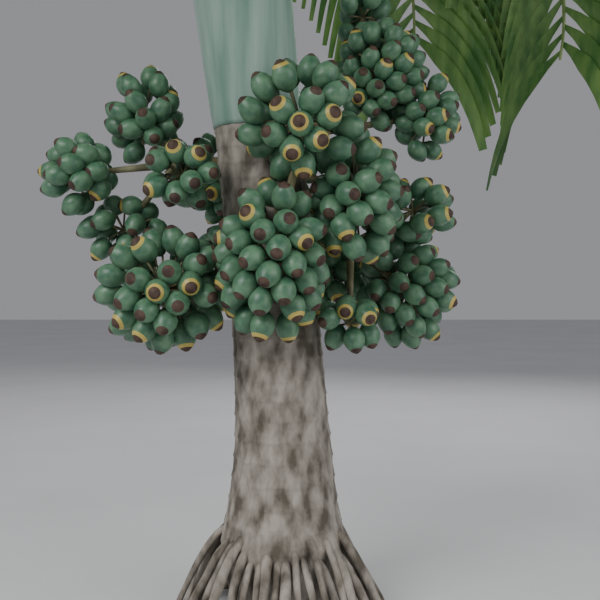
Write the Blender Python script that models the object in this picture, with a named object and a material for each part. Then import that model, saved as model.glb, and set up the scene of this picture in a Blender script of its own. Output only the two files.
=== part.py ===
"""A dwarf betel nut palm (Areca catechu) in fruit, whole from its ground line to its newest leaf.

Metres, +Z up. The origin is the centre of the flat cut at ground level, under the trunk.
The palm's front, the side with the largest bunch, faces -Y, and the trunk leans towards -X.
Each sub-part is one closed solid. Neighbours that touch on the plant stand about 0.3 mm clear.
"""
import math
import random

import bmesh
import bpy
from mathutils import Vector
from mathutils.bvhtree import BVHTree

# Driving dimensions
GAP = 0.0003
FLAT_ANGLE = 0.002
UP = Vector((0.0, 0.0, 1.0))

# Trunk: a slender stem that leans, on a flared foot
TRUNK_TOP = 0.779
TRUNK_RADIUS = 0.0695
FLARE = 0.087
FLARE_HEIGHT = 0.12
SKIRT_TOP = 0.12
CORE_UNDERCUT = 0.16
LEAN_START = 0.25
LEAN = 0.0988
LEAN_POWER = 1.4
TRUNK_SIDES = 16
SCAR_FIRST = 0.15
SCAR_PITCH_LOW = 0.038
SCAR_PITCH_HIGH = 0.024
SCAR_STEP = 0.0018
SCARS_PER_MODELLED_SCAR = 2
SCAR_LAST_MODELLED = 0.50

# Prop roots round the foot
ROOT_COUNT = 23
ROOT_RADIUS = 0.0090
ROOT_SPREAD = 0.186
ROOT_START = 0.130
ROOT_SIDES = 5
ROOT_STATIONS = 4
BELOW_GROUND = 0.03
ROOT_SEED = 7
GROUND_CUT_HALF = 0.4

# Crownshaft: height above ground and radius at each level
CROWNSHAFT_LEVELS = (
    (TRUNK_TOP + GAP, 0.0710),
    (0.800, 0.0728),
    (0.900, 0.0768),
    (1.000, 0.0800),
    (1.090, 0.0790),
    (1.180, 0.0690),
    (1.260, 0.0550),
    (1.330, 0.0400),
)

# Fronds: azimuth, height where it leaves the crownshaft, rise at the base, total bend, length
FROND_TABLE = (
    (36.0, 1.160, 66.0, 172.0, 1.20),
    (62.0, 1.205, 64.0, 160.0, 1.15),
    (100.0, 1.170, 72.0, 100.0, 1.12),
    (138.0, 1.215, 70.0, 104.0, 1.15),
    (176.0, 1.180, 66.0, 114.0, 1.15),
    (216.0, 1.225, 68.0, 112.0, 1.15),
    (258.0, 1.190, 70.0, 108.0, 1.10),
    (302.0, 1.225, 70.0, 108.0, 1.10),
    (344.0, 1.180, 68.0, 118.0, 1.15),
    (196.0, 1.290, 80.0, 60.0, 1.00),
)
BEND_POWER = 1.2
RACHIS_BASE_RADIUS = 0.0125
RACHIS_TIP_RADIUS = 0.0030
RACHIS_STATIONS = 8
RACHIS_SIDES = 3
PETIOLE_SHARE = 0.10
LEAFLET_PAIRS = 8
LEAFLET_LENGTH = 0.48
LEAFLET_WIDTH = 0.060
LEAFLET_DROOP = 1.15
LEAFLET_THICKNESS_SHARE = 0.011
LEAFLET_OUTLINE = (0.22, 1.0, 0.42)
LEAFLET_WIDTH_FIRST = 0.75
LEAFLET_WIDTH_GAIN = 0.45
LAST_LEAFLET_SHARE = 0.985
LEAFLET_ROOM = 1.12
LEAFLET_ROOM_BELOW = 1.8
LOBE_MARGIN = 0.015

# Spear: the newest leaf, still folded
SPEAR_LENGTH = 0.72
SPEAR_RADIUS = 0.0115
SPEAR_SIDES = 6
SPEAR_AZIMUTH = 120.0
SPEAR_SWAY = 0.05
SPEAR_OUTLINE = ((0.0, 0.9), (0.25, 1.0), (0.6, 0.8), (0.85, 0.5), (1.0, 0.15))

# Fruit and its stalks
FRUIT_LENGTH = 0.050
FRUIT_DIAMETER = 0.037
SOLID_FRUIT_SCALE = 1.24
SOLID_FRUIT_NESTLE = 0.10
FRUIT_SIDES = 6
FRUIT_STATIONS = ((0.26, 0.90), (0.68, 0.88))
COLLAR_RADIUS = 0.0160
STEM_RADIUS = 0.0125
BRANCH_RADIUS = 0.0070
TWIG_RADIUS = 0.0030
TWIG_SIDES = 3
PACKING_ROUNDS = 60
CLEARANCE = 0.0012
FRUIT_SEED = 11

# How the fruits are laid out: shares of a fruit's width or length, of a lobe, or of a branch
FRUIT_SPACING = 0.92
SHELL_AREA_POWER = 1.6
PLACE_JITTER = 0.12
AIM_JITTER = 0.20
AIM_FROM_HEART = 0.35
BURIED_DEPTH = 0.75
NEIGHBOUR_ROOM = 0.54
STEM_ROOM = 0.62
PUSH_SHARE = 0.7
SHELL_PULL = 0.4
BRANCH_REACH = 0.45
TWIG_BACK = 0.6
TWIG_FIRST = 0.12

# Bunches: where each stem leaves the trunk (azimuth, height), the heart where it forks,
# the fruit's size against a ripe one, and each lobe's centre and half-sizes to the fruit's tips
BUNCHES = {
    "bunch_front": {
        "stem": (-68.0, 0.700),
        "heart": (0.020, -0.118, 0.700),
        "size": 1.0,
        "lobes": (
            ((0.028, -0.130, 0.771), (0.100, 0.092, 0.100)),
            ((0.111, -0.090, 0.662), (0.076, 0.085, 0.118)),
            ((-0.014, -0.125, 0.564), (0.092, 0.095, 0.130)),
        ),
    },
    "bunch_front_left": {
        "stem": (212.0, 0.590),
        "heart": (-0.120, -0.070, 0.570),
        "size": 1.0,
        "lobes": (((-0.179, -0.085, 0.522), (0.110, 0.100, 0.101)),),
    },
    "bunch_left": {
        "stem": (176.0, 0.725),
        "heart": (-0.175, 0.010, 0.725),
        "size": 0.93,
        "lobes": (
            ((-0.232, 0.050, 0.810), (0.070, 0.075, 0.090)),
            ((-0.334, 0.020, 0.711), (0.069, 0.070, 0.076)),
            ((-0.150, -0.095, 0.696), (0.075, 0.065, 0.060)),
            ((-0.270, 0.060, 0.622), (0.085, 0.070, 0.066)),
        ),
    },
    "bunch_right_upper": {
        "stem": (32.0, 0.745),
        "heart": (0.075, 0.070, 0.790),
        "size": 0.86,
        "lobes": (
            ((0.165, 0.085, 0.885), (0.085, 0.080, 0.105)),
            ((0.243, 0.080, 0.815), (0.062, 0.065, 0.085)),
            ((0.136, 0.108, 0.992), (0.056, 0.055, 0.066)),
        ),
    },
    "bunch_right_lower": {
        "stem": (-8.0, 0.600),
        "heart": (0.110, 0.020, 0.595),
        "size": 0.92,
        "lobes": (
            ((0.212, 0.020, 0.650), (0.080, 0.070, 0.062)),
            ((0.206, 0.050, 0.518), (0.094, 0.080, 0.100)),
            ((0.105, -0.070, 0.470), (0.069, 0.060, 0.050)),
        ),
    },
    "bunch_back": {
        "stem": (112.0, 0.660),
        "heart": (-0.060, 0.125, 0.665),
        "size": 0.96,
        "lobes": (
            ((-0.120, 0.160, 0.722), (0.090, 0.080, 0.090)),
            ((-0.075, 0.185, 0.560), (0.100, 0.090, 0.105)),
        ),
    },
    "bunch_back_right": {
        "stem": (60.0, 0.590),
        "heart": (0.060, 0.110, 0.600),
        "size": 0.96,
        "lobes": (
            ((0.060, 0.185, 0.690), (0.090, 0.080, 0.085)),
            ((0.085, 0.165, 0.540), (0.090, 0.080, 0.095)),
        ),
    },
}

# Colour, roughness
LOOKS = {
    "bark": ((0.33, 0.29, 0.24), 0.85),
    "crownshaft": ((0.27, 0.41, 0.33), 0.45),
    "frond": ((0.12, 0.28, 0.05), 0.50),
    "fruit": ((0.10, 0.21, 0.08), 0.42),
}


def clear_scene():
    """Remove whatever the file holds, so that each run starts the same."""
    for item in list(bpy.data.objects):
        bpy.data.objects.remove(item, do_unlink=True)


def material(name):
    """A Principled material with the part's colour and roughness."""
    colour, roughness = LOOKS[name]
    made = bpy.data.materials.new(name)
    made.use_nodes = True
    shader = made.node_tree.nodes["Principled BSDF"]
    shader.inputs["Base Color"].default_value = (*colour, 1.0)
    shader.inputs["Roughness"].default_value = roughness
    shader.inputs["Metallic"].default_value = 0.0
    return made


def mesh_object(name, vertices, faces):
    """A mesh object of triangles, linked to the scene."""
    mesh = bpy.data.meshes.new(name)
    mesh.from_pydata([tuple(v) for v in vertices], [], faces)
    shape = bmesh.new()
    shape.from_mesh(mesh)
    bmesh.ops.triangulate(shape, faces=shape.faces)
    bmesh.ops.recalc_face_normals(shape, faces=shape.faces)
    shape.to_mesh(mesh)
    shape.free()
    made = bpy.data.objects.new(name, mesh)
    bpy.context.scene.collection.objects.link(made)
    return made


def finish(piece, name, look):
    """Name a finished solid, give it its own material and shade its round sides smooth."""
    piece.name = name
    piece.data.name = name
    piece.data.materials.clear()
    piece.data.materials.append(material(look))
    piece.data.shade_smooth()
    piece.data.set_sharp_from_angle(angle=math.radians(50.0))
    return piece


def join(pieces, name):
    """Join overlapping solids into one body by one Boolean union on a collection."""
    body = pieces[0]
    others = bpy.data.collections.new(name + "_pieces")
    bpy.context.scene.collection.children.link(others)
    for piece in pieces[1:]:
        bpy.context.scene.collection.objects.unlink(piece)
        others.objects.link(piece)
    union = body.modifiers.new("union", "BOOLEAN")
    union.operation = "UNION"
    union.operand_type = "COLLECTION"
    union.collection = others
    union.solver = "EXACT"
    bake_modifiers(body)
    for piece in list(others.objects):
        bpy.data.objects.remove(piece, do_unlink=True)
    bpy.data.collections.remove(others)
    return body


def bake_modifiers(piece):
    """Apply a piece's modifiers, merge the flat faces that they split, and leave triangles."""
    bpy.context.view_layer.update()
    seen = piece.evaluated_get(bpy.context.evaluated_depsgraph_get())
    mesh = bpy.data.meshes.new_from_object(seen)
    piece.modifiers.clear()
    piece.data = mesh
    shape = bmesh.new()
    shape.from_mesh(mesh)
    bmesh.ops.dissolve_limit(
        shape, angle_limit=FLAT_ANGLE, verts=shape.verts, edges=shape.edges, delimit=set()
    )
    bmesh.ops.triangulate(shape, faces=shape.faces)
    shape.to_mesh(mesh)
    shape.free()


def loft(rings):
    """Vertices and faces of a closed tube through rings of equal count, capped at both ends."""
    sides = len(rings[0])
    vertices = [corner for ring in rings for corner in ring]
    faces = [tuple(range(sides - 1, -1, -1))]
    for level in range(len(rings) - 1):
        for side in range(sides):
            after = (side + 1) % sides
            low, high = level * sides, (level + 1) * sides
            faces.append((low + side, low + after, high + after, high + side))
    faces.append(tuple(range((len(rings) - 1) * sides, len(rings) * sides)))
    return vertices, faces


def circle(centre, across, along, radius, sides, phase=0.0):
    """A ring of corners about a centre, in the plane of two unit vectors."""
    turns = [2.0 * math.pi * side / sides + phase for side in range(sides)]
    return [centre + radius * (math.cos(a) * across + math.sin(a) * along) for a in turns]


def direction_at(points, index):
    """The direction of a path at one of its points."""
    return (points[min(index + 1, len(points) - 1)] - points[max(index - 1, 0)]).normalized()


def tube(points, radii, sides):
    """A closed tube along a path, its rings square to the path and turned no more than it bends."""
    rings = []
    first = direction_at(points, 0)
    across = first.cross(UP if abs(first.z) < 0.9 else Vector((1.0, 0.0, 0.0)))
    for index, point in enumerate(points):
        ahead = direction_at(points, index)
        across = (across - ahead * across.dot(ahead)).normalized()
        rings.append(circle(point, across, across.cross(ahead), radii[index], sides))
    return loft(rings)


def heading(azimuth):
    """The level unit vector at an azimuth in degrees, 0 along +X and 90 along +Y."""
    turn = math.radians(azimuth)
    return Vector((math.cos(turn), math.sin(turn), 0.0))


def stem_axis(height):
    """The centre of the trunk or crownshaft at a height: upright at the foot, then leaning."""
    above = max(0.0, height - LEAN_START)
    return Vector((-LEAN * above ** LEAN_POWER, 0.0, height))


def trunk_radius(height):
    """The trunk's radius at a height: flared to the root skirt, then drawn in behind the roots."""
    flared = TRUNK_RADIUS + FLARE * math.exp(-max(height, SKIRT_TOP) / FLARE_HEIGHT)
    return flared - CORE_UNDERCUT * max(0.0, SKIRT_TOP - height)


def shaft_radius(height):
    """The crownshaft's radius at a height, straight between its levels."""
    levels = CROWNSHAFT_LEVELS
    for (low, wide), (high, narrow) in zip(levels, levels[1:]):
        if height <= high:
            return wide + (narrow - wide) * max(0.0, height - low) / (high - low)
    return levels[-1][1]


def stem_radius(height):
    """The radius of whichever of trunk and crownshaft stands at a height."""
    return trunk_radius(height) if height < TRUNK_TOP else shaft_radius(height)


def seat(azimuth, height, half):
    """The point just clear of the stem's side where a limb of that half-height meets it."""
    out = heading(azimuth)
    here = stem_axis(height)
    reach = 0.0
    for level in (height - half, height, height + half):
        reach = max(reach, (stem_axis(level) - here).dot(out) + stem_radius(level))
    ledge = 0.5 * SCAR_STEP if height < TRUNK_TOP else 0.0
    return here + out * (reach + ledge + GAP)


def scar_heights():
    """Heights of the leaf scars, closer together towards the top."""
    heights = []
    height = SCAR_FIRST
    while height < TRUNK_TOP - 0.5 * SCAR_PITCH_HIGH:
        heights.append(height)
        share = height / TRUNK_TOP
        height += SCAR_PITCH_LOW + (SCAR_PITCH_HIGH - SCAR_PITCH_LOW) * share
    return heights


def trunk_levels():
    """Heights and radii of the trunk's rings: the flared foot, then a small ledge at each scar."""
    levels = [(h, trunk_radius(h)) for h in (-BELOW_GROUND, SKIRT_TOP)]
    for height in scar_heights()[::SCARS_PER_MODELLED_SCAR]:
        if height > SCAR_LAST_MODELLED:
            break
        levels.append((height, trunk_radius(height) + 0.5 * SCAR_STEP))
        levels.append((height + 0.004, trunk_radius(height + 0.004) - 0.5 * SCAR_STEP))
    levels.append((TRUNK_TOP, trunk_radius(TRUNK_TOP)))
    return levels


def root_path(index, chance):
    """Centre line and radii of one prop root, from inside the trunk's foot to below the ground."""
    azimuth = 360.0 * (index + chance.uniform(-0.12, 0.12)) / ROOT_COUNT
    start = ROOT_START + chance.uniform(-0.020, 0.018)
    spread = ROOT_SPREAD * chance.uniform(0.86, 1.0)
    thick = ROOT_RADIUS * chance.uniform(0.85, 1.15)
    points, radii = [], []
    for station in range(ROOT_STATIONS):
        share = station / (ROOT_STATIONS - 1)
        height = start + (-BELOW_GROUND - start) * share
        near = trunk_radius(start) - 0.8 * thick
        reach = near + (spread - near) * share ** 0.70
        swing = azimuth + 3.0 * math.sin(2.6 * share + index) * share
        points.append(heading(swing) * reach + UP * height)
        radii.append(thick * (1.0 - 0.12 * share))
    return points, radii


def build_trunk():
    """The leaning stem, its scars and its prop roots, cut flat at ground level."""
    rings = [level_ring(stem_axis(h), r, TRUNK_SIDES) for h, r in trunk_levels()]
    pieces = [mesh_object("stem", *loft(rings))]
    chance = random.Random(ROOT_SEED)
    for index in range(ROOT_COUNT):
        points, radii = root_path(index, chance)
        pieces.append(mesh_object("root", *tube(points, radii, ROOT_SIDES)))
    body = join(pieces, "trunk")
    half = GROUND_CUT_HALF
    floor = loft([
        [Vector((x, y, z)) for x, y in ((-half, -half), (half, -half), (half, half), (-half, half))]
        for z in (-half, 0.0)
    ])
    cutter = mesh_object("ground_cut", *floor)
    cutter.hide_render = True
    cutter.display_type = "WIRE"
    cut = body.modifiers.new("ground", "BOOLEAN")
    cut.operation = "DIFFERENCE"
    cut.object = cutter
    cut.solver = "EXACT"
    bake_modifiers(body)
    bpy.data.objects.remove(cutter, do_unlink=True)
    return finish(body, "trunk", "bark")


def level_ring(centre, radius, sides):
    """A level ring of corners."""
    return circle(centre, Vector((1.0, 0.0, 0.0)), Vector((0.0, 1.0, 0.0)), radius, sides)


def crownshaft_shape():
    """The smooth sleeve of leaf bases above the trunk."""
    return loft([level_ring(stem_axis(h), r, TRUNK_SIDES) for h, r in CROWNSHAFT_LEVELS])


def spear_shape():
    """The folded new leaf, standing on the crownshaft's top."""
    foot = CROWNSHAFT_LEVELS[-1][0] + GAP
    base = stem_axis(foot)
    lean = (stem_axis(foot) - stem_axis(foot - 0.1)).normalized()
    rings = []
    for share, thick in SPEAR_OUTLINE:
        sway = SPEAR_SWAY * share * share * heading(SPEAR_AZIMUTH)
        centre = base + lean * SPEAR_LENGTH * share + sway
        rings.append(level_ring(centre, SPEAR_RADIUS * thick, SPEAR_SIDES))
    return loft(rings)


def rachis_points(azimuth, height, rise, bend, length, stations):
    """Points along a frond's rib: it leaves the crownshaft's side and bends over under its weight."""
    out = heading(azimuth)
    point = seat(azimuth, height, RACHIS_BASE_RADIUS)
    points = [point]
    steps = 60
    for step in range(steps):
        share = (step + 0.5) / steps
        slope = math.radians(rise - bend * share ** BEND_POWER)
        point = point + (out * math.cos(slope) + UP * math.sin(slope)) * (length / steps)
        points.append(point)
    return [points[round(steps * station / (stations - 1))] for station in range(stations)]


def along_path(points, share):
    """The point at a share of an evenly spaced path, and the path's direction there."""
    place = share * (len(points) - 1)
    index = min(int(place), len(points) - 2)
    start, end = points[index], points[index + 1]
    return start.lerp(end, place - index), (end - start).normalized()


def leaflet_length(share):
    """Length of a leaflet at a share of the rib, longest near the middle."""
    return LEAFLET_LENGTH * (0.72 + 0.28 * math.sin(math.pi * min(1.0, 0.14 + 0.90 * share)))


def leaflet_path(root, ahead, side, share, stations):
    """Points along a leaflet: out and forward from the rib, then hanging."""
    forward = 0.45 + 0.55 * share
    aim = (side + ahead * forward + UP * 0.22).normalized()
    length = leaflet_length(share)
    points = [root]
    steps = 12
    for step in range(steps):
        fall = LEAFLET_DROOP * ((step + 0.5) / steps) ** 1.1
        way = (aim * (1.0 - 0.55 * min(fall, 1.0)) - UP * fall).normalized()
        points.append(points[-1] + way * (length / steps))
    return [points[round(steps * station / (stations - 1))] for station in range(stations)]


def leaflet_blade(points, across, width, thickness):
    """A keeled blade along a path: a flat top and a low ridge below, cut short at its tip."""
    rings = []
    keel = direction_at(points, 0).cross(across)
    if keel.z > 0.0:
        keel = -keel
    for index, point in enumerate(points):
        half = 0.5 * width * LEAFLET_OUTLINE[index]
        ahead = direction_at(points, index)
        keel = (keel - ahead * keel.dot(ahead)).normalized()
        wide = keel.cross(ahead)
        rings.append([point - wide * half, point + wide * half, point + keel * thickness])
    return loft(rings)


def inside_lobe(point, margin):
    """Whether a point lies within any bunch's space."""
    for bunch in BUNCHES.values():
        for centre, reach in bunch["lobes"]:
            offset = point - Vector(centre)
            if sum((offset[k] / (reach[k] + margin)) ** 2 for k in range(3)) < 1.0:
                return True
    return False


def solid_tree(vertices, faces):
    """A search tree of a closed solid's faces, to test whether others touch it."""
    return BVHTree.FromPolygons([tuple(v) for v in vertices], faces)


def rib_spine(row):
    """Evenly spaced points along a frond's rib."""
    azimuth, height, rise, bend, length = row
    return rachis_points(azimuth, height, rise, bend, length, RACHIS_STATIONS)


def rib_shape(row):
    """The solid of a frond's rib, three-sided and tapering to its tip."""
    side = heading(row[0]).cross(UP).normalized()
    spine = rib_spine(row)
    rings = []
    for index, point in enumerate(spine):
        share = index / (len(spine) - 1)
        radius = RACHIS_BASE_RADIUS + (RACHIS_TIP_RADIUS - RACHIS_BASE_RADIUS) * share
        ridge = side.cross(direction_at(spine, index)) if index else UP
        rings.append(circle(point, side, ridge, radius, RACHIS_SIDES, 0.5 * math.pi))
    return loft(rings)


def build_frond(number, row, standing):
    """One frond: a rib with leaflets to both sides, less those that would touch what stands."""
    side = heading(row[0]).cross(UP).normalized()
    spine = rib_spine(row)
    pieces = [mesh_object("rib", *rib_shape(row))]
    kept = []
    count = 2 * LEAFLET_PAIRS
    for place in range(count):
        share = PETIOLE_SHARE + (LAST_LEAFLET_SHARE - PETIOLE_SHARE) * place / (count - 1)
        hand = -1.0 if place % 2 else 1.0
        root, ahead = along_path(spine, share)
        points = leaflet_path(root, ahead, side * hand, share, len(LEAFLET_OUTLINE))
        width = LEAFLET_WIDTH * (LEAFLET_WIDTH_FIRST + LEAFLET_WIDTH_GAIN * share)
        thickness = LEAFLET_THICKNESS_SHARE * leaflet_length(share)
        blade = leaflet_blade(points, ahead, width, thickness)
        wider = leaflet_blade(points, ahead, LEAFLET_ROOM * width, LEAFLET_ROOM_BELOW * thickness)
        room = solid_tree(*wider)
        if any(inside_lobe(point, LOBE_MARGIN) for point in points):
            continue
        if any(room.overlap(other) for other in standing):
            continue
        pieces.append(mesh_object("leaflet", *blade))
        kept.append(solid_tree(*blade))
    finish(join(pieces, "frond"), f"frond_{number}", "frond")
    return kept


def segment_distance(a, b, c, d):
    """The least distance between the straight stretches a-b and c-d."""
    u, v, w = b - a, d - c, a - c
    uu, uv, vv, uw, vw = u.dot(u), u.dot(v), v.dot(v), u.dot(w), v.dot(w)
    span = uu * vv - uv * uv
    s = 0.0 if span < 1e-12 else min(1.0, max(0.0, (uv * vw - vv * uw) / span))
    t = 0.0 if vv < 1e-12 else (uv * s + vw) / vv
    if t < 0.0:
        t = 0.0
        s = 0.0 if uu < 1e-12 else min(1.0, max(0.0, -uw / uu))
    elif t > 1.0:
        t = 1.0
        s = 0.0 if uu < 1e-12 else min(1.0, max(0.0, (uv - uw) / uu))
    return (w + u * s - v * t).length


def bunch_limbs(bunch):
    """A bunch's stem from the trunk to its heart, and a branch from there to each lobe's far side."""
    azimuth, height = bunch["stem"]
    heart = Vector(bunch["heart"])
    foot = seat(azimuth, height, COLLAR_RADIUS)
    branches = []
    for centre, reach in bunch["lobes"]:
        middle = Vector(centre)
        away = (middle - heart).normalized()
        depth = 1.0 / math.sqrt(sum((away[k] / reach[k]) ** 2 for k in range(3)))
        tip = middle + away * max(0.0, BRANCH_REACH * (depth - 0.5 * FRUIT_LENGTH))
        branches.append((heart, tip))
    return foot, heart, branches


def stem_collar(azimuth, foot, heart):
    """The stem's solid: a flat foot that faces the trunk, then a taper to the heart."""
    out = heading(azimuth)
    side = out.cross(UP).normalized()
    ahead = (heart - foot).normalized()
    along = side.cross(ahead).normalized()
    middle = foot.lerp(heart, 0.5) + out * 0.006
    rings = [
        circle(foot, side, UP, COLLAR_RADIUS, 6),
        circle(middle, side, along, STEM_RADIUS, 6),
        circle(heart + ahead * 0.004, side, along, STEM_RADIUS * 0.85, 6),
    ]
    return loft(rings)


def place_fruits(chance):
    """Every fruit's place and aim: an even shell over each lobe, spread until none crowds another."""
    fruits = []
    for name, bunch in BUNCHES.items():
        heart = Vector(bunch["heart"])
        length = FRUIT_LENGTH * bunch["size"] * SOLID_FRUIT_SCALE
        width = FRUIT_DIAMETER * bunch["size"] * SOLID_FRUIT_SCALE
        for lobe, (centre, reach) in enumerate(bunch["lobes"]):
            shell = Vector([max(0.012, r - 0.5 * length) for r in reach])
            middle = Vector(centre)
            source = middle + (heart - middle) * AIM_FROM_HEART
            pairs = ((shell.x * shell.y), (shell.x * shell.z), (shell.y * shell.z))
            power = SHELL_AREA_POWER
            area = 4.0 * math.pi * (sum(p ** power for p in pairs) / 3.0) ** (1.0 / power)
            count = max(5, round(area / (FRUIT_SPACING * width * width)))
            for index in range(count):
                level = 1.0 - 2.0 * (index + 0.5) / count
                turn = math.pi * (3.0 - math.sqrt(5.0)) * index + lobe
                flat = math.sqrt(1.0 - level * level)
                unit = Vector((math.cos(turn) * flat, math.sin(turn) * flat, level))
                jolt = Vector([chance.uniform(-PLACE_JITTER, PLACE_JITTER) for _ in range(3)])
                unit = (unit + jolt).normalized()
                place = middle + Vector([unit[k] * shell[k] for k in range(3)])
                fruits.append({
                    "bunch": name, "lobe": lobe, "place": place, "middle": middle, "shell": shell,
                    "source": source, "length": length, "width": width,
                    "tilt": Vector([chance.uniform(-AIM_JITTER, AIM_JITTER) for _ in range(3)]),
                })
    fruits = [fruit for fruit in fruits if not is_buried(fruit)]
    for _ in range(PACKING_ROUNDS):
        spread_once(fruits)
    for fruit in fruits:
        aim = (fruit["place"] - fruit["source"]).normalized() + fruit["tilt"]
        fruit["aim"] = aim.normalized()
    return fruits


def is_buried(fruit):
    """Whether a fruit's place is deep inside another lobe, or inside the stem of the palm."""
    place = fruit["place"]
    axis = stem_axis(place.z)
    level = Vector((place.x - axis.x, place.y - axis.y, 0.0))
    if level.length < stem_radius(place.z) + 0.2 * fruit["width"]:
        return True
    for name, bunch in BUNCHES.items():
        for lobe, (centre, reach) in enumerate(bunch["lobes"]):
            if (name, lobe) == (fruit["bunch"], fruit["lobe"]):
                continue
            offset = place - Vector(centre)
            inner = [max(0.01, r - BURIED_DEPTH * fruit["length"]) for r in reach]
            if sum((offset[k] / inner[k]) ** 2 for k in range(3)) < 1.0:
                return True
    return False


def spread_once(fruits):
    """Push crowded fruits apart, back towards their shell, and off the palm's stem."""
    moves = [Vector((0.0, 0.0, 0.0)) for _ in fruits]
    for i, one in enumerate(fruits):
        for j in range(i + 1, len(fruits)):
            other = fruits[j]
            between = one["place"] - other["place"]
            room = NEIGHBOUR_ROOM * (one["width"] + other["width"])
            apart = between.length
            if apart < room:
                push = between * (0.5 * (room - apart) / max(apart, 1e-6))
                moves[i] += push
                moves[j] -= push
    for fruit, move in zip(fruits, moves):
        place = fruit["place"] + move * PUSH_SHARE
        offset = place - fruit["middle"]
        size = math.sqrt(sum((offset[k] / fruit["shell"][k]) ** 2 for k in range(3)))
        if size > 1e-6:
            place = place + offset * (SHELL_PULL * (1.0 / size - 1.0))
        axis = stem_axis(place.z)
        level = Vector((place.x - axis.x, place.y - axis.y, 0.0))
        room = stem_radius(place.z) + STEM_ROOM * fruit["width"]
        if 1e-6 < level.length < room:
            place = place + level * ((room - level.length) / level.length)
        fruit["place"] = place


def fruit_core(fruit):
    """The fruit's core line and radius: every part of the fruit is within the radius of the line."""
    radius = 0.5 * fruit["width"]
    half = 0.5 * fruit["length"] - radius
    return fruit["place"] - fruit["aim"] * half, fruit["place"] + fruit["aim"] * half, radius


def fruit_twig(fruit, branch):
    """The twig that carries a fruit: from a point back along its branch to just inside its base."""
    start, end = branch
    base = fruit["place"] - fruit["aim"] * 0.5 * fruit["length"]
    run = end - start
    share = (base - start).dot(run) / run.dot(run)
    back = TWIG_BACK * (base - (start + run * share)).length / run.length
    share = min(1.0, max(TWIG_FIRST, share - back))
    return start + run * share, base


def hits_palm(a, b, radius):
    """Whether a rounded stretch comes too near the trunk or the crownshaft."""
    for step in range(5):
        point = a.lerp(b, step / 4.0)
        axis = stem_axis(point.z)
        level = math.hypot(point.x - axis.x, point.y - axis.y)
        if level < stem_radius(point.z) + radius + CLEARANCE:
            return True
    return False


def choose_fruits(fruits):
    """Keep each fruit that is clear of the palm, of the limbs and of the fruits kept before it."""
    limbs = []
    for name, bunch in BUNCHES.items():
        foot, heart, branches = bunch_limbs(bunch)
        limbs.append((name, foot, heart, COLLAR_RADIUS))
        for start, end in branches:
            limbs.append((name, start, end, BRANCH_RADIUS))
    kept, twigs = [], []
    for fruit in fruits:
        a, b, radius = fruit_core(fruit)
        branch = bunch_limbs(BUNCHES[fruit["bunch"]])[2][fruit["lobe"]]
        twig = fruit_twig(fruit, branch)
        if hits_palm(a, b, radius) or hits_palm(*twig, TWIG_RADIUS):
            continue
        if clashes(fruit, twig, limbs, kept, twigs):
            continue
        fruit["twig"] = twig
        kept.append(fruit)
        twigs.append((fruit["bunch"], *twig, TWIG_RADIUS))
    return kept


def clashes(fruit, twig, limbs, kept, twigs):
    """Whether a fruit or its twig would touch what it may not."""
    a, b, radius = fruit_core(fruit)
    name = fruit["bunch"]
    for owner, c, d, thick in limbs:
        if segment_distance(a, b, c, d) < radius + thick + CLEARANCE:
            return True
        if owner != name and segment_distance(*twig, c, d) < TWIG_RADIUS + thick + CLEARANCE:
            return True
    for owner, c, d, thick in twigs:
        if owner == name:
            continue
        if segment_distance(a, b, c, d) < radius + thick + CLEARANCE:
            return True
        if segment_distance(*twig, c, d) < TWIG_RADIUS + thick + CLEARANCE:
            return True
    for other in kept:
        c, d, thick = fruit_core(other)
        same = other["bunch"] == name
        room = radius + thick + (-SOLID_FRUIT_NESTLE * fruit["width"] if same else CLEARANCE)
        if segment_distance(a, b, c, d) < room:
            return True
        if not same and segment_distance(*twig, c, d) < TWIG_RADIUS + thick + CLEARANCE:
            return True
    return False


def fruit_on_twig(fruit):
    """A three-sided twig that opens into a faceted ovoid fruit, from the branch to the apex."""
    aim = fruit["aim"]
    start, end = fruit["twig"]
    guide = UP if abs(aim.z) < 0.9 else Vector((1.0, 0.0, 0.0))
    across = aim.cross(guide).normalized()
    along = across.cross(aim).normalized()
    run = (end - start).normalized()
    level = (across - run * across.dot(run)).normalized()
    rise = level.cross(run).normalized()
    if rise.dot(along) < 0.0:
        rise = -rise
    base = fruit["place"] - aim * 0.5 * fruit["length"]
    vertices = circle(start, level, rise, TWIG_RADIUS, TWIG_SIDES)
    vertices += circle(base, across, along, 0.8 * TWIG_RADIUS, TWIG_SIDES)
    for share, wide in FRUIT_STATIONS:
        centre = base + aim * fruit["length"] * share
        radius = 0.5 * fruit["width"] * wide
        vertices += circle(centre, across, along, radius, FRUIT_SIDES, -math.pi / FRUIT_SIDES)
    vertices.append(base + aim * fruit["length"])
    faces = [tuple(range(TWIG_SIDES))]
    first = 2 * TWIG_SIDES
    second = first + FRUIT_SIDES
    for side in range(TWIG_SIDES):
        after = (side + 1) % TWIG_SIDES
        low, high = first + 2 * side, first + (2 * side + 2) % FRUIT_SIDES
        faces.append((side, after, TWIG_SIDES + after, TWIG_SIDES + side))
        faces.append((TWIG_SIDES + side, low + 1, low))
        faces.append((TWIG_SIDES + side, TWIG_SIDES + after, high, low + 1))
    for side in range(FRUIT_SIDES):
        after = (side + 1) % FRUIT_SIDES
        faces.append((first + side, first + after, second + after, second + side))
        faces.append((second + side, second + after, len(vertices) - 1))
    return vertices, faces


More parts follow.
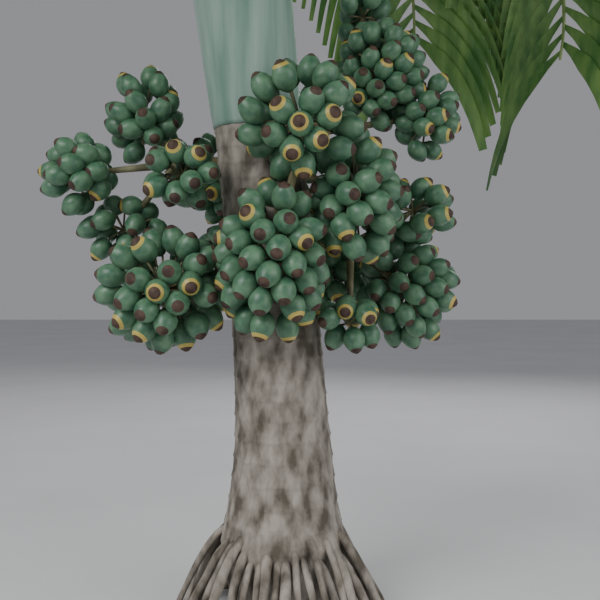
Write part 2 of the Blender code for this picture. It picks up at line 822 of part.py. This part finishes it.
def build_bunch(name, fruits):
    """One bunch: its stem, its branches, and a twig and a fruit at each chosen place."""
    bunch = BUNCHES[name]
    foot, heart, branches = bunch_limbs(bunch)
    pieces = [mesh_object("stem", *stem_collar(bunch["stem"][0], foot, heart))]
    for start, end in branches:
        radii = (BRANCH_RADIUS, 0.6 * BRANCH_RADIUS)
        back = start - (end - start).normalized() * 0.003
        pieces.append(mesh_object("branch", *tube([back, end], radii, 5)))
    for fruit in fruits:
        if fruit["bunch"] != name:
            continue
        pieces.append(mesh_object("fruit", *fruit_on_twig(fruit)))
    return finish(join(pieces, name), name, "fruit")


def build_palm():
    """Every sub-part of the palm, from the ground up."""
    clear_scene()
    build_trunk()
    finish(mesh_object("crownshaft", *crownshaft_shape()), "crownshaft", "crownshaft")
    finish(mesh_object("spear_leaf", *spear_shape()), "spear_leaf", "frond")
    middle = [solid_tree(*crownshaft_shape()), solid_tree(*spear_shape())]
    ribs = [solid_tree(*rib_shape(row)) for row in FROND_TABLE]
    leaflets = []
    for index, row in enumerate(FROND_TABLE):
        other_ribs = ribs[:index] + ribs[index + 1:]
        leaflets += build_frond(index + 1, row, middle + other_ribs + leaflets)
    fruits = choose_fruits(place_fruits(random.Random(FRUIT_SEED)))
    for name in BUNCHES:
        build_bunch(name, fruits)


build_palm()
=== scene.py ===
"""The looks of a dwarf betel nut palm in fruit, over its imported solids. Metres, +Z up."""
import math
import random

import bpy
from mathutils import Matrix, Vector


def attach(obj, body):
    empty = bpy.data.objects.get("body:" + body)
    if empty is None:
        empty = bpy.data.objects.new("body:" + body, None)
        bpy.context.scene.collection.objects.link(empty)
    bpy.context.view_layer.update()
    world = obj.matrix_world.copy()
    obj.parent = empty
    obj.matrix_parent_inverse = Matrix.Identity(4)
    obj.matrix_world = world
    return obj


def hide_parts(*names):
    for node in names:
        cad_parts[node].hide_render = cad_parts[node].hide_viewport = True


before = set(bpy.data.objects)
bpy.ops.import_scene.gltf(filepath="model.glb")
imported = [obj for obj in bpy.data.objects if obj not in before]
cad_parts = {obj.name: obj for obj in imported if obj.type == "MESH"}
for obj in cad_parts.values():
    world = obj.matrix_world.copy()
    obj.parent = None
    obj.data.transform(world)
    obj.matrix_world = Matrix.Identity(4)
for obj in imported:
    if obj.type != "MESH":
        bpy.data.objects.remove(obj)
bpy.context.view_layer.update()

UP = Vector((0.0, 0.0, 1.0))

# Trunk and roots, as in the source
TRUNK_TOP = 0.779
TRUNK_RADIUS = 0.0695
FLARE = 0.087
FLARE_HEIGHT = 0.12
SKIRT_TOP = 0.12
CORE_UNDERCUT = 0.16
LEAN_START = 0.25
LEAN = 0.0988
LEAN_POWER = 1.4
SCAR_FIRST = 0.15
SCAR_PITCH_LOW = 0.038
SCAR_PITCH_HIGH = 0.024
SCAR_STEP = 0.0018
SCAR_SAG = 0.010
TRUNK_SIDES = 96
TRUNK_LEVELS = 260
ROOT_COUNT = 46
ROOT_RADIUS = 0.0075
ROOT_SPREAD = 0.180
ROOT_START = 0.130
ROOT_SEED = 7

CROWNSHAFT_LEVELS = (
    (0.7793, 0.0710), (0.800, 0.0728), (0.900, 0.0768), (1.000, 0.0800),
    (1.090, 0.0790), (1.180, 0.0690), (1.260, 0.0550), (1.330, 0.0400),
)
SHAFT_SIDES = 64

# Fronds: azimuth, height at the crownshaft, rise, bend, length
FROND_TABLE = (
    (36.0, 1.160, 66.0, 172.0, 1.20), (62.0, 1.205, 64.0, 160.0, 1.15),
    (100.0, 1.170, 72.0, 100.0, 1.12), (138.0, 1.215, 70.0, 104.0, 1.15),
    (176.0, 1.180, 66.0, 114.0, 1.15), (216.0, 1.225, 68.0, 112.0, 1.15),
    (258.0, 1.190, 70.0, 108.0, 1.10), (302.0, 1.225, 70.0, 108.0, 1.10),
    (344.0, 1.180, 68.0, 118.0, 1.15), (196.0, 1.290, 80.0, 60.0, 1.00),
)
BEND_POWER = 1.2
RIB_BASE = 0.0125
RIB_TIP = 0.0030
RIB_STATIONS = 30
PETIOLE_SHARE = 0.10
LAST_LEAFLET_SHARE = 0.985
LEAFLET_PAIRS = 28
LEAFLET_LENGTH = 0.48
LEAFLET_WIDTH = 0.030
LEAFLET_DROOP = 1.15
LEAFLET_STATIONS = 8
LEAFLET_PLEAT = 0.10
LOBE_MARGIN = 0.015

# Fruit
FRUIT_LENGTH = 0.050
FRUIT_DIAMETER = 0.037
FRUIT_SIDES = 14
FRUIT_RINGS = 10
FRUIT_CROWDING = 0.86
FRUIT_SPACING = 0.80
TWIG_RADIUS = 0.0018
FRUIT_SEED = 11
BLUSH_CHANCE = 0.30
TIP_START = 0.90
BLUSH_START = 0.74

# Bunches: fork, fruit size, and each lobe's centre and half-sizes
BUNCHES = {
    "bunch_front": ((0.020, -0.118, 0.700), 1.0, (
        ((0.028, -0.130, 0.771), (0.100, 0.092, 0.100)),
        ((0.111, -0.090, 0.662), (0.076, 0.085, 0.118)),
        ((-0.014, -0.125, 0.564), (0.092, 0.095, 0.130)))),
    "bunch_front_left": ((-0.120, -0.070, 0.570), 1.0, (
        ((-0.179, -0.085, 0.522), (0.110, 0.100, 0.101)),)),
    "bunch_left": ((-0.175, 0.010, 0.725), 0.93, (
        ((-0.232, 0.050, 0.810), (0.070, 0.075, 0.090)),
        ((-0.334, 0.020, 0.711), (0.069, 0.070, 0.076)),
        ((-0.150, -0.095, 0.696), (0.075, 0.065, 0.060)),
        ((-0.270, 0.060, 0.622), (0.085, 0.070, 0.066)))),
    "bunch_right_upper": ((0.075, 0.070, 0.790), 0.86, (
        ((0.165, 0.085, 0.885), (0.085, 0.080, 0.105)),
        ((0.243, 0.080, 0.815), (0.062, 0.065, 0.085)),
        ((0.136, 0.108, 0.992), (0.056, 0.055, 0.066)))),
    "bunch_right_lower": ((0.110, 0.020, 0.595), 0.92, (
        ((0.212, 0.020, 0.650), (0.080, 0.070, 0.062)),
        ((0.206, 0.050, 0.518), (0.094, 0.080, 0.100)),
        ((0.105, -0.070, 0.470), (0.069, 0.060, 0.050)))),
    "bunch_back": ((-0.060, 0.125, 0.665), 0.96, (
        ((-0.120, 0.160, 0.722), (0.090, 0.080, 0.090)),
        ((-0.075, 0.185, 0.560), (0.100, 0.090, 0.105)))),
    "bunch_back_right": ((0.060, 0.110, 0.600), 0.96, (
        ((0.060, 0.185, 0.690), (0.090, 0.080, 0.085)),
        ((0.085, 0.165, 0.540), (0.090, 0.080, 0.095)))),
}


def patterned(name, dark, light, roughness, scale, stretch, bump):
    """A material whose colour and relief follow noise drawn out along one axis."""
    made = bpy.data.materials.new(name)
    made.use_nodes = True
    nodes = made.node_tree.nodes
    links = made.node_tree.links
    shader = nodes["Principled BSDF"]
    shader.inputs["Roughness"].default_value = roughness
    place = nodes.new("ShaderNodeTexCoord")
    mapping = nodes.new("ShaderNodeMapping")
    mapping.inputs["Scale"].default_value = stretch
    noise = nodes.new("ShaderNodeTexNoise")
    noise.inputs["Scale"].default_value = scale
    noise.inputs["Detail"].default_value = 6.0
    ramp = nodes.new("ShaderNodeValToRGB")
    ramp.color_ramp.elements[0].position = 0.35
    ramp.color_ramp.elements[0].color = (*dark, 1.0)
    ramp.color_ramp.elements[1].position = 0.65
    ramp.color_ramp.elements[1].color = (*light, 1.0)
    relief = nodes.new("ShaderNodeBump")
    relief.inputs["Strength"].default_value = bump
    relief.inputs["Distance"].default_value = 0.001
    links.new(place.outputs["Object"], mapping.inputs["Vector"])
    links.new(mapping.outputs["Vector"], noise.inputs["Vector"])
    links.new(noise.outputs["Fac"], ramp.inputs["Fac"])
    links.new(ramp.outputs["Color"], shader.inputs["Base Color"])
    links.new(noise.outputs["Fac"], relief.inputs["Height"])
    links.new(relief.outputs["Normal"], shader.inputs["Normal"])
    return made


class Shape:
    """Vertices, faces and face materials gathered into one mesh."""

    def __init__(self):
        self.vertices = []
        self.faces = []
        self.looks = []

    def add(self, vertices, faces, looks=None):
        first = len(self.vertices)
        self.vertices.extend(tuple(v) for v in vertices)
        self.faces.extend(tuple(first + corner for corner in face) for face in faces)
        self.looks.extend(looks if looks else [0] * len(faces))

    def piece(self, name, materials, slot, nodes):
        mesh = bpy.data.meshes.new(name)
        mesh.from_pydata(self.vertices, [], self.faces)
        for look in materials:
            mesh.materials.append(look)
        mesh.polygons.foreach_set("material_index", self.looks)
        mesh.shade_smooth()
        made = bpy.data.objects.new(name, mesh)
        bpy.context.scene.collection.objects.link(made)
        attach(made, "root")
        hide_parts(*nodes)
        return made


def loft(rings):
    """A closed tube through rings of equal count, capped at both ends."""
    sides = len(rings[0])
    vertices = [corner for ring in rings for corner in ring]
    faces = [tuple(range(sides - 1, -1, -1))]
    for level in range(len(rings) - 1):
        for side in range(sides):
            after = (side + 1) % sides
            low, high = level * sides, (level + 1) * sides
            faces.append((low + side, low + after, high + after, high + side))
    faces.append(tuple(range((len(rings) - 1) * sides, len(rings) * sides)))
    return vertices, faces


def tube(points, radii, sides):
    """A closed tube along a path, its rings turned no more than the path bends."""
    rings = []
    across = None
    for index, point in enumerate(points):
        ahead = points[min(index + 1, len(points) - 1)] - points[max(index - 1, 0)]
        ahead = ahead.normalized()
        if across is None:
            across = ahead.cross(UP if abs(ahead.z) < 0.9 else Vector((1.0, 0.0, 0.0)))
        across = (across - ahead * across.dot(ahead)).normalized()
        along = ahead.cross(across)
        ring = []
        for side in range(sides):
            turn = 2.0 * math.pi * side / sides
            ring.append(point + radii[index] * (math.cos(turn) * across + math.sin(turn) * along))
        rings.append(ring)
    return loft(rings)


def heading(azimuth):
    turn = math.radians(azimuth)
    return Vector((math.cos(turn), math.sin(turn), 0.0))


def stem_axis(height):
    above = max(0.0, height - LEAN_START)
    return Vector((-LEAN * above ** LEAN_POWER, 0.0, height))


def trunk_radius(height):
    flared = TRUNK_RADIUS + FLARE * math.exp(-max(height, SKIRT_TOP) / FLARE_HEIGHT)
    return flared - CORE_UNDERCUT * max(0.0, SKIRT_TOP - height)


def shaft_radius(height):
    for (low, wide), (high, narrow) in zip(CROWNSHAFT_LEVELS, CROWNSHAFT_LEVELS[1:]):
        if height <= high:
            return wide + (narrow - wide) * max(0.0, height - low) / (high - low)
    return CROWNSHAFT_LEVELS[-1][1]


def scar_heights():
    heights = []
    height = SCAR_FIRST
    while height < TRUNK_TOP:
        heights.append(height)
        height += SCAR_PITCH_LOW + (SCAR_PITCH_HIGH - SCAR_PITCH_LOW) * height / TRUNK_TOP
    return heights


def scar_relief(height, scars):
    """A ledge just above each leaf scar that fades towards the next."""
    below = [scar for scar in scars if scar <= height]
    if not below:
        return 0.0
    return SCAR_STEP * (math.exp(-(height - below[-1]) / 0.006) - 0.3)


def make_trunk(bark):
    scars = scar_heights()
    shape = Shape()
    rings = []
    for level in range(TRUNK_LEVELS + 1):
        height = TRUNK_TOP * level / TRUNK_LEVELS
        ring = []
        for side in range(TRUNK_SIDES):
            azimuth = 360.0 * side / TRUNK_SIDES
            out = heading(azimuth)
            sagging = height + SCAR_SAG * 0.5 * math.cos(math.radians(azimuth + 90.0))
            fissure = 0.0005 * math.sin(19.0 * math.radians(azimuth) + 6.0 * math.sin(40.0 * height))
            ring.append(stem_axis(height) + out * (trunk_radius(height) + scar_relief(sagging, scars) + fissure))
        rings.append(ring)
    shape.add(*loft(rings))
    chance = random.Random(ROOT_SEED)
    for index in range(ROOT_COUNT):
        azimuth = 360.0 * (index + chance.uniform(-0.2, 0.2)) / ROOT_COUNT
        start = ROOT_START + chance.uniform(-0.030, 0.015)
        spread = ROOT_SPREAD * chance.uniform(0.80, 1.0)
        thick = ROOT_RADIUS * chance.uniform(0.7, 1.15)
        near = trunk_radius(start) - 0.8 * thick
        points, radii = [], []
        for station in range(14):
            share = station / 13.0
            reach = near + (spread - near) * share ** 0.70
            swing = azimuth + 3.0 * math.sin(2.6 * share + index) * share
            points.append(heading(swing) * reach + UP * start * (1.0 - share))
            radii.append(thick * (1.0 - 0.12 * share) * (1.0 + 0.07 * math.sin(9.0 * share + index)))
        vertices, faces = tube(points, radii, 10)
        shape.add([Vector((v[0], v[1], max(0.0, v[2]))) for v in vertices], faces)
    shape.piece("trunk_bark", [bark], "bark", ["trunk"])


def make_crownshaft(sheath):
    shape = Shape()
    low, high = CROWNSHAFT_LEVELS[0][0], CROWNSHAFT_LEVELS[-1][0]
    rings = []
    for level in range(81):
        height = low + (high - low) * level / 80.0
        ring = []
        for side in range(SHAFT_SIDES):
            azimuth = 360.0 * side / SHAFT_SIDES
            ridge = 0.0004 * math.sin(16.0 * math.radians(azimuth))
            ring.append(stem_axis(height) + heading(azimuth) * (shaft_radius(height) + ridge))
        rings.append(ring)
    shape.add(*loft(rings))
    shape.piece("crownshaft_sheath", [sheath], "crownshaft", ["crownshaft"])


def rib_points(row):
    azimuth, height, rise, bend, length = row
    out = heading(azimuth)
    point = stem_axis(height) + out * (shaft_radius(height) - 0.004)
    points = [point]
    for step in range(RIB_STATIONS):
        slope = math.radians(rise - bend * ((step + 0.5) / RIB_STATIONS) ** BEND_POWER)
        point = point + (out * math.cos(slope) + UP * math.sin(slope)) * (length / RIB_STATIONS)
        points.append(point)
    return points


def inside_lobe(point):
    for _, _, lobes in BUNCHES.values():
        for centre, reach in lobes:
            offset = point - Vector(centre)
            if sum((offset[k] / (reach[k] + LOBE_MARGIN)) ** 2 for k in range(3)) < 1.0:
                return True
    return False


def add_leaflet(shape, root, ahead, side, share):
    """A pleated leaflet that leaves the rib, then hangs, with a cut-off tip."""
    aim = (side + ahead * (0.45 + 0.55 * share) + UP * 0.22).normalized()
    length = LEAFLET_LENGTH * (0.72 + 0.28 * math.sin(math.pi * min(1.0, 0.14 + 0.90 * share)))
    width = LEAFLET_WIDTH * (0.75 + 0.45 * share)
    points = [root]
    for step in range(LEAFLET_STATIONS):
        fall = LEAFLET_DROOP * ((step + 0.5) / LEAFLET_STATIONS) ** 1.1
        way = (aim * (1.0 - 0.55 * min(fall, 1.0)) - UP * fall).normalized()
        points.append(points[-1] + way * (length / LEAFLET_STATIONS))
    if any(inside_lobe(point) for point in points):
        return
    vertices, faces = [], []
    for index, point in enumerate(points):
        place = index / LEAFLET_STATIONS
        half = 0.5 * width * min(1.0, 0.25 + 3.0 * place) * (1.0 - 0.45 * place ** 3)
        run = points[min(index + 1, len(points) - 1)] - points[max(index - 1, 0)]
        run = run.normalized()
        wide = (ahead - run * ahead.dot(run)).normalized()
        lift = run.cross(wide) * (half * 2.0 * LEAFLET_PLEAT)
        vertices += [point - wide * half + lift, point, point + wide * half + lift]
    for index in range(LEAFLET_STATIONS):
        low = 3 * index
        faces.append((low, low + 1, low + 4, low + 3))
        faces.append((low + 1, low + 2, low + 5, low + 4))
    shape.add(vertices, faces)


def make_fronds(leaf, stalk):
    leaves, ribs = Shape(), Shape()
    count = 2 * LEAFLET_PAIRS
    for row in FROND_TABLE:
        points = rib_points(row)
        last = len(points) - 1
        radii = [RIB_BASE + (RIB_TIP - RIB_BASE) * index / last for index in range(len(points))]
        ribs.add(*tube(points, radii, 8))
        side = heading(row[0]).cross(UP).normalized()
        for place in range(count):
            share = PETIOLE_SHARE + (LAST_LEAFLET_SHARE - PETIOLE_SHARE) * place / (count - 1)
            index = min(int(share * last), last - 1)
            root = points[index].lerp(points[index + 1], share * last - index)
            ahead = (points[index + 1] - points[index]).normalized()
            add_leaflet(leaves, root, ahead, side * (-1.0 if place % 2 else 1.0), share)
    foot = CROWNSHAFT_LEVELS[-1][0] - 0.004
    lean = (stem_axis(foot) - stem_axis(foot - 0.1)).normalized()
    spear = [stem_axis(foot) + lean * 0.72 * s + heading(120.0) * 0.05 * s * s for s in (0, .25, .5, .75, 1)]
    ribs.add(*tube(spear, (0.0103, 0.0112, 0.0098, 0.0070, 0.0018), 16))
    nodes = ["spear_leaf"] + [f"frond_{number}" for number in range(1, len(FROND_TABLE) + 1)]
    leaves.piece("frond_leaflets", [leaf], "frond", nodes)
    ribs.piece("frond_ribs", [stalk], "frond", nodes)


def add_fruit(shape, place, aim, length, width, ripe):
    """An ovoid fruit, its apex banded where it ripens."""
    across = aim.cross(UP if abs(aim.z) < 0.9 else Vector((1.0, 0.0, 0.0))).normalized()
    along = aim.cross(across)
    base = place - aim * 0.5 * length
    rings = []
    for ring in range(FRUIT_RINGS + 1):
        share = 0.02 + 0.96 * ring / FRUIT_RINGS
        radius = 0.5 * width * math.sin(math.pi * share ** 0.92) ** 0.62
        centre = base + aim * length * share
        turns = [2.0 * math.pi * side / FRUIT_SIDES for side in range(FRUIT_SIDES)]
        rings.append([centre + radius * (math.cos(a) * across + math.sin(a) * along) for a in turns])
    vertices, faces = loft(rings)
    looks = [0]
    for ring in range(FRUIT_RINGS):
        share = ring / FRUIT_RINGS
        look = 0
        if share >= TIP_START:
            look = 3
        elif ripe and share >= BLUSH_START:
            look = 2 if share > BLUSH_START + 0.06 else 1
        looks += [look] * FRUIT_SIDES
    looks.append(3)
    shape.add(vertices, faces, looks)


def make_bunches(fruit_looks, twig_look):
    chance = random.Random(FRUIT_SEED)
    names = list(BUNCHES)
    kept, twigs = [], Shape()
    fruits = Shape()
    for heart, size, lobes in BUNCHES.values():
        heart = Vector(heart)
        length, width = FRUIT_LENGTH * size, FRUIT_DIAMETER * size
        trunk_side = stem_axis(heart.z)
        stalk = (heart - trunk_side).normalized()
        start = trunk_side + stalk * (trunk_radius(heart.z) - 0.004)
        twigs.add(*tube([start, heart], (0.012, 0.009), 12))
        for lobe, (centre, reach) in enumerate(lobes):
            middle = Vector(centre)
            twigs.add(*tube([heart, heart.lerp(middle, 0.9)], (0.007, 0.004), 10))
            shell = [max(0.012, r - 0.5 * length) for r in reach]
            area = 4.0 * math.pi * (shell[0] * shell[1] + shell[0] * shell[2] + shell[1] * shell[2]) / 3.0
            count = round(area / (FRUIT_SPACING * width * width))
            for index in range(count):
                level = 1.0 - 2.0 * (index + 0.5) / count
                turn = math.pi * (3.0 - math.sqrt(5.0)) * index + lobe
                flat = math.sqrt(1.0 - level * level)
                unit = Vector((math.cos(turn) * flat, math.sin(turn) * flat, level))
                place = middle + Vector([unit[k] * shell[k] for k in range(3)])
                axis = stem_axis(place.z)
                clear = math.hypot(place.x - axis.x, place.y - axis.y)
                stem = trunk_radius(place.z) if place.z < TRUNK_TOP else shaft_radius(place.z)
                if clear < stem + 0.55 * width:
                    continue
                if any((place - other).length < FRUIT_CROWDING * width for other in kept):
                    continue
                kept.append(place)
                tilt = Vector([chance.uniform(-0.2, 0.2) for _ in range(3)])
                aim = ((place - middle.lerp(heart, 0.35)).normalized() + tilt).normalized()
                add_fruit(fruits, place, aim, length, width, chance.random() < BLUSH_CHANCE)
                twigs.add(*tube([middle, place - aim * 0.48 * length], (TWIG_RADIUS,) * 2, 5))
    fruits.piece("fruit", fruit_looks, "fruit", names)
    twigs.piece("fruit_stalks", [twig_look], "fruit", names)


def make_set():
    """A pale floor, soft light and a camera at the photograph's angle."""
    mesh = bpy.data.meshes.new("floor")
    far = 12.0
    mesh.from_pydata([(-far, -far, 0), (far, -far, 0), (far, far, 0), (-far, far, 0)], [], [(0, 1, 2, 3)])
    mesh.materials.append(patterned("floor", (0.60, 0.60, 0.61), (0.64, 0.64, 0.65), 0.8, 2.0, (1, 1, 1), 0.0))
    floor = bpy.data.objects.new("floor", mesh)
    bpy.context.scene.collection.objects.link(floor)
    world = bpy.data.worlds.new("studio")
    world.use_nodes = True
    world.node_tree.nodes["Background"].inputs["Color"].default_value = (0.30, 0.30, 0.32, 1.0)
    bpy.context.scene.world = world
    for name, place, size, power in (
        ("key", (-1.8, -2.2, 2.6), 1.8, 90.0),
        ("fill", (2.4, -1.6, 1.6), 2.2, 35.0),
        ("back", (0.8, 2.6, 2.4), 2.0, 45.0),
    ):
        light = bpy.data.lights.new(name, "AREA")
        light.size = size
        light.energy = power
        lamp = bpy.data.objects.new(name, light)
        lamp.location = place
        lamp.rotation_euler = (Vector((0, 0, 0.7)) - Vector(place)).to_track_quat("-Z", "Y").to_euler()
        bpy.context.scene.collection.objects.link(lamp)
    eye = bpy.data.cameras.new("camera")
    eye.lens = 54.0
    eye.sensor_width = 36.0
    camera = bpy.data.objects.new("camera", eye)
    camera.location = (0.0275, -1.458, 0.53)
    camera.rotation_euler = (math.radians(89.0), 0.0, 0.0)
    bpy.context.scene.collection.objects.link(camera)
    bpy.context.scene.camera = camera


make_trunk(patterned("bark", (0.10, 0.085, 0.065), (0.40, 0.36, 0.31), 0.88, 45.0, (1, 1, 0.5), 0.7))
make_crownshaft(patterned("sheath", (0.17, 0.30, 0.24), (0.36, 0.50, 0.43), 0.42, 30.0, (1, 1, 0.08), 0.15))
make_fronds(
    patterned("leaflet", (0.07, 0.20, 0.05), (0.22, 0.38, 0.11), 0.45, 30.0, (1, 1, 0.3), 0.2),
    patterned("rib", (0.18, 0.27, 0.08), (0.32, 0.42, 0.16), 0.50, 40.0, (1, 1, 0.3), 0.2),
)
make_bunches(
    [
        patterned("fruit_green", (0.05, 0.14, 0.08), (0.13, 0.26, 0.15), 0.40, 60.0, (1, 1, 1), 0.15),
        patterned("fruit_yellow", (0.45, 0.36, 0.08), (0.60, 0.46, 0.12), 0.42, 60.0, (1, 1, 1), 0.15),
        patterned("fruit_orange", (0.60, 0.20, 0.04), (0.75, 0.32, 0.07), 0.42, 60.0, (1, 1, 1), 0.15),
        patterned("fruit_nub", (0.04, 0.02, 0.015), (0.10, 0.06, 0.04), 0.70, 90.0, (1, 1, 1), 0.30),
    ],
    patterned("fruit_stalk", (0.10, 0.10, 0.05), (0.24, 0.22, 0.12), 0.65, 50.0, (1, 1, 0.4), 0.3),
)
make_set()
